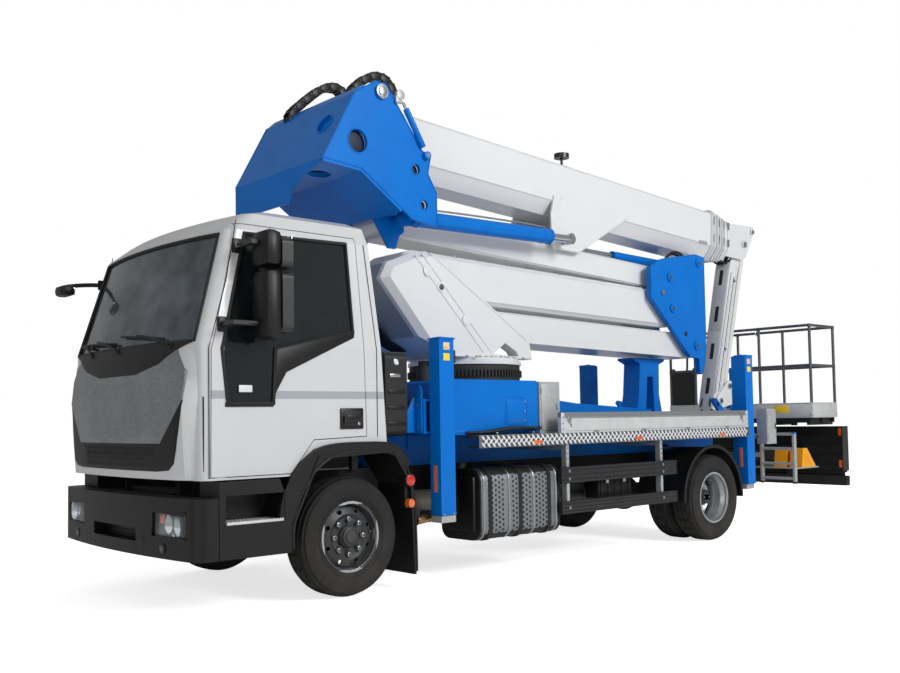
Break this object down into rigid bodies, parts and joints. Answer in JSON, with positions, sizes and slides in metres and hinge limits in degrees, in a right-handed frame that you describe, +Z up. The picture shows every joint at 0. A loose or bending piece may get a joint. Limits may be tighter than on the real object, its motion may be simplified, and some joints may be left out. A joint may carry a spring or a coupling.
{
  "type": "cherry picker truck",
  "caption": "Forward-control truck with a slewing turret, folded double arms, telescopic boom, jib and work basket, steadied by outriggers.",
  "frame": {"origin": "on the ground under the middle of the overall length and width", "axes": "+X forward, +Y to the truck's left, +Z up"},
  "size_m": [8.79, 2.633, 4.2779],
  "materials": {
    "cab_paint": "satin two-layer paint",
    "blue_paint": "gloss enamel",
    "white_paint": "gloss enamel",
    "chassis_paint": "satin black",
    "black_trim": "grained",
    "speckled_trim": "speckled moulding",
    "interior_trim": "grained",
    "deck_aluminium": "mill finish",
    "box_aluminium": "brushed",
    "cast": "rough cast",
    "wheel_silver": "silver paint",
    "tyre_rubber": "moulded",
    "chrome_rod": "polished",
    "galvanised": "galvanised",
    "clear_glass": "tinted",
    "lamp_lens": "moulded lenses",
    "hose_black": "moulded links"
  },
  "bodies": {
    "truck": {"chassis_frame": "chassis_paint", "engine_block": "cast", "front_axle": "cast", "rear_axle": "cast", "cab_shell": "cab_paint", "windscreen": "clear_glass", "nose_panels": "speckled_trim", "bumper": "black_trim", "lamps": "lamp_lens", "mudguards": "black_trim", "cab_interior": "interior_trim", "subframe": "blue_paint", "slew_ring": "cast", "deck": "deck_aluminium", "side_guards": "galvanised", "fuel_tank": "box_aluminium", "side_boxes": "box_aluminium", "rear_panel": "chassis_paint", "ladder_rack": "galvanised"},
    "steering_left": {"steering_knuckle_left": "cast"},
    "steering_right": {"steering_knuckle_right": "cast"},
    "front_wheel_left": {"front_wheel_left": "wheel_silver", "front_tyre_left": "tyre_rubber"},
    "front_wheel_right": {"front_wheel_right": "wheel_silver", "front_tyre_right": "tyre_rubber"},
    "rear_wheel_left": {"rear_wheel_left": "wheel_silver", "rear_tyres_left": "tyre_rubber"},
    "rear_wheel_right": {"rear_wheel_right": "wheel_silver", "rear_tyres_right": "tyre_rubber"},
    "door_left": {"door_left": "cab_paint", "door_glass_left": "clear_glass"},
    "door_right": {"door_right": "cab_paint", "door_glass_right": "clear_glass"},
    "front_beam_left": {"front_beam_left": "blue_paint"},
    "front_beam_right": {"front_beam_right": "blue_paint"},
    "front_jack_left": {"front_jack_left": "chrome_rod"},
    "front_jack_right": {"front_jack_right": "chrome_rod"},
    "rear_jack_left": {"rear_jack_left": "chrome_rod"},
    "rear_jack_right": {"rear_jack_right": "chrome_rod"},
    "turret": {"turret": "white_paint"},
    "lower_arm": {"lower_arm": "white_paint"},
    "lower_link": {"lower_link": "white_paint"},
    "rear_knuckle": {"rear_knuckle": "blue_paint"},
    "upper_arm": {"upper_arm": "white_paint"},
    "upper_arm_barrel": {"upper_arm_barrel": "blue_paint"},
    "upper_arm_rod": {"upper_arm_rod": "chrome_rod"},
    "front_knuckle": {"front_knuckle": "blue_paint", "hose_loops": "hose_black"},
    "boom_base": {"boom_base": "white_paint"},
    "boom_section_2": {"boom_section_2": "white_paint"},
    "boom_section_3": {"boom_section_3": "white_paint"},
    "boom_head": {"boom_head": "white_paint"},
    "lift_barrels": {"lift_barrels": "blue_paint"},
    "lift_rods": {"lift_rods": "chrome_rod"},
    "jib": {"jib": "white_paint"},
    "jib_link": {"jib_link": "white_paint"},
    "jib_yoke": {"jib_yoke": "white_paint"},
    "basket_carrier": {"basket_carrier": "blue_paint"},
    "basket": {"basket": "galvanised", "basket_bracket": "blue_paint"}
  },
  "joints": [
    {"name": "steer_left", "type": "hinge", "parent": "truck", "child": "steering_left", "pos_m": [3.065, 0.8, 0.43], "axis": [0, 0, 1], "range_deg": [-35, 35]},
    {"name": "front_wheel_left_spin", "type": "hinge", "parent": "steering_left", "child": "front_wheel_left", "pos_m": [3.065, 0.905, 0.43], "axis": [0, 1, 0], "continuous": true},
    {"name": "rear_wheel_left_spin", "type": "hinge", "parent": "truck", "child": "rear_wheel_left", "pos_m": [-1.39, 0.9, 0.43], "axis": [0, 1, 0], "continuous": true},
    {"name": "door_left_open", "type": "hinge", "parent": "truck", "child": "door_left", "pos_m": [4.195, 1.05, 1.7], "axis": [0, 0, -1], "range_deg": [0, 70]},
    {"name": "front_beam_left_out", "type": "slide", "parent": "truck", "child": "front_beam_left", "axis": [0, 1, 0], "range_m": [0, 0.75]},
    {"name": "front_jack_left_down", "type": "slide", "parent": "front_beam_left", "child": "front_jack_left", "axis": [0, 0, -1], "range_m": [0, 0.5]},
    {"name": "rear_jack_left_down", "type": "slide", "parent": "truck", "child": "rear_jack_left", "axis": [0, 0, -1], "range_m": [0, 0.5]},
    {"name": "steer_right", "type": "hinge", "parent": "truck", "child": "steering_right", "pos_m": [3.065, -0.8, 0.43], "axis": [0, 0, 1], "range_deg": [-35, 35]},
    {"name": "front_wheel_right_spin", "type": "hinge", "parent": "steering_right", "child": "front_wheel_right", "pos_m": [3.065, -0.905, 0.43], "axis": [0, 1, 0], "continuous": true},
    {"name": "rear_wheel_right_spin", "type": "hinge", "parent": "truck", "child": "rear_wheel_right", "pos_m": [-1.39, -0.9, 0.43], "axis": [0, 1, 0], "continuous": true},
    {"name": "door_right_open", "type": "hinge", "parent": "truck", "child": "door_right", "pos_m": [4.195, -1.05, 1.7], "axis": [0, 0, 1], "range_deg": [0, 70]},
    {"name": "front_beam_right_out", "type": "slide", "parent": "truck", "child": "front_beam_right", "axis": [0, -1, 0], "range_m": [0, 0.75]},
    {"name": "front_jack_right_down", "type": "slide", "parent": "front_beam_right", "child": "front_jack_right", "axis": [0, 0, -1], "range_m": [0, 0.5]},
    {"name": "rear_jack_right_down", "type": "slide", "parent": "truck", "child": "rear_jack_right", "axis": [0, 0, -1], "range_m": [0, 0.5]},
    {"name": "slew", "type": "hinge", "parent": "truck", "child": "turret", "pos_m": [0.965, 0, 1.785], "axis": [0, 0, 1], "range_deg": [-135, 135]},
    {"name": "arm_lift", "type": "hinge", "parent": "turret", "child": "lower_arm", "pos_m": [1.765, 0, 2.54], "axis": [0, 1, 0], "range_deg": [0, 75]},
    {"name": "lower_link_turn", "type": "hinge", "parent": "turret", "child": "lower_link", "pos_m": [1.315, 0, 2.138], "axis": [0, 1, 0], "range_deg": [0, 75]},
    {"name": "rear_knuckle_level", "type": "hinge", "parent": "lower_arm", "child": "rear_knuckle", "pos_m": [-1.915, 0, 2.455], "axis": [0, 1, 0], "range_deg": [-75, 0]},
    {"name": "upper_arm_lift", "type": "hinge", "parent": "rear_knuckle", "child": "upper_arm", "pos_m": [-1.875, 0, 2.8], "axis": [0, -1, 0], "range_deg": [0, 75]},
    {"name": "upper_arm_barrel_turn", "type": "hinge", "parent": "rear_knuckle", "child": "upper_arm_barrel", "pos_m": [-2.435, 0, 3.01], "axis": [0, -1, 0], "range_deg": [0, 59]},
    {"name": "upper_arm_rod_slide", "type": "slide", "parent": "upper_arm_barrel", "child": "upper_arm_rod", "axis": [0.9998, 0, 0.0189], "range_m": [-0.579, 0]},
    {"name": "front_knuckle_level", "type": "hinge", "parent": "upper_arm", "child": "front_knuckle", "pos_m": [2.005, 0, 2.975], "axis": [0, 1, 0], "range_deg": [0, 75]},
    {"name": "boom_lift", "type": "hinge", "parent": "front_knuckle", "child": "boom_base", "pos_m": [2.448, 0, 3.9], "axis": [0, 1, 0], "range_deg": [0, 75]},
    {"name": "lift_barrels_turn", "type": "hinge", "parent": "front_knuckle", "child": "lift_barrels", "pos_m": [2.005, 0, 2.975], "axis": [0, 1, 0], "range_deg": [0, 71.1]},
    {"name": "lift_rods_slide", "type": "slide", "parent": "lift_barrels", "child": "lift_rods", "axis": [-0.9998, 0, 0.0214], "range_m": [0, 1.238]},
    {"name": "boom_extend", "type": "slide", "parent": "boom_base", "child": "boom_section_2", "axis": [-0.9985, 0, -0.0555], "range_m": [0, 3.6]},
    {"name": "boom_section_3_slide", "type": "slide", "parent": "boom_section_2", "child": "boom_section_3", "axis": [-0.9985, 0, -0.0555], "range_m": [0, 3.6]},
    {"name": "boom_head_slide", "type": "slide", "parent": "boom_section_3", "child": "boom_head", "axis": [-0.9985, 0, -0.0555], "range_m": [0, 3.6]},
    {"name": "jib_lift", "type": "hinge", "parent": "boom_head", "child": "jib", "pos_m": [-3.765, 0, 3.4], "axis": [0, 1, 0], "range_deg": [0, 130]},
    {"name": "jib_link_turn", "type": "hinge", "parent": "boom_head", "child": "jib_link", "pos_m": [-3.96, 0, 3.58], "axis": [0, 1, 0], "range_deg": [0, 130]},
    {"name": "jib_yoke_level", "type": "hinge", "parent": "jib", "child": "jib_yoke", "pos_m": [-3.185, 0, 1.43], "axis": [0, 1, 0], "range_deg": [-130, 0]},
    {"name": "basket_level", "type": "hinge", "parent": "jib_yoke", "child": "basket_carrier", "pos_m": [-3.483, 0, 1.47], "axis": [0, 1, 0], "range_deg": [-75, 0]},
    {"name": "basket_rotate", "type": "hinge", "parent": "basket_carrier", "child": "basket", "pos_m": [-3.585, 0, 1.445], "axis": [0, 0, 1], "range_deg": [-90, 90]}
  ],
  "couplings": [
    {"joint": "steer_right", "follows": "steer_left", "ratio": 1},
    {"joint": "lower_link_turn", "follows": "arm_lift", "ratio": 1},
    {"joint": "rear_knuckle_level", "follows": "arm_lift", "ratio": -1},
    {"joint": "upper_arm_lift", "follows": "arm_lift", "ratio": 1},
    {"joint": "upper_arm_barrel_turn", "follows": "arm_lift", "ratio": 0.77395},
    {"joint": "upper_arm_rod_slide", "follows": "arm_lift", "m_per_rad": -0.435},
    {"joint": "front_knuckle_level", "follows": "arm_lift", "ratio": 1},
    {"joint": "lift_barrels_turn", "follows": "boom_lift", "ratio": 0.93479},
    {"joint": "lift_rods_slide", "follows": "boom_lift", "m_per_rad": 0.93823},
    {"joint": "basket_level", "follows": "boom_lift", "ratio": -1},
    {"joint": "boom_section_3_slide", "follows": "boom_extend", "ratio": 1},
    {"joint": "boom_head_slide", "follows": "boom_extend", "ratio": 1},
    {"joint": "jib_link_turn", "follows": "jib_lift", "ratio": 1},
    {"joint": "jib_yoke_level", "follows": "jib_lift", "ratio": -1}
  ]
}
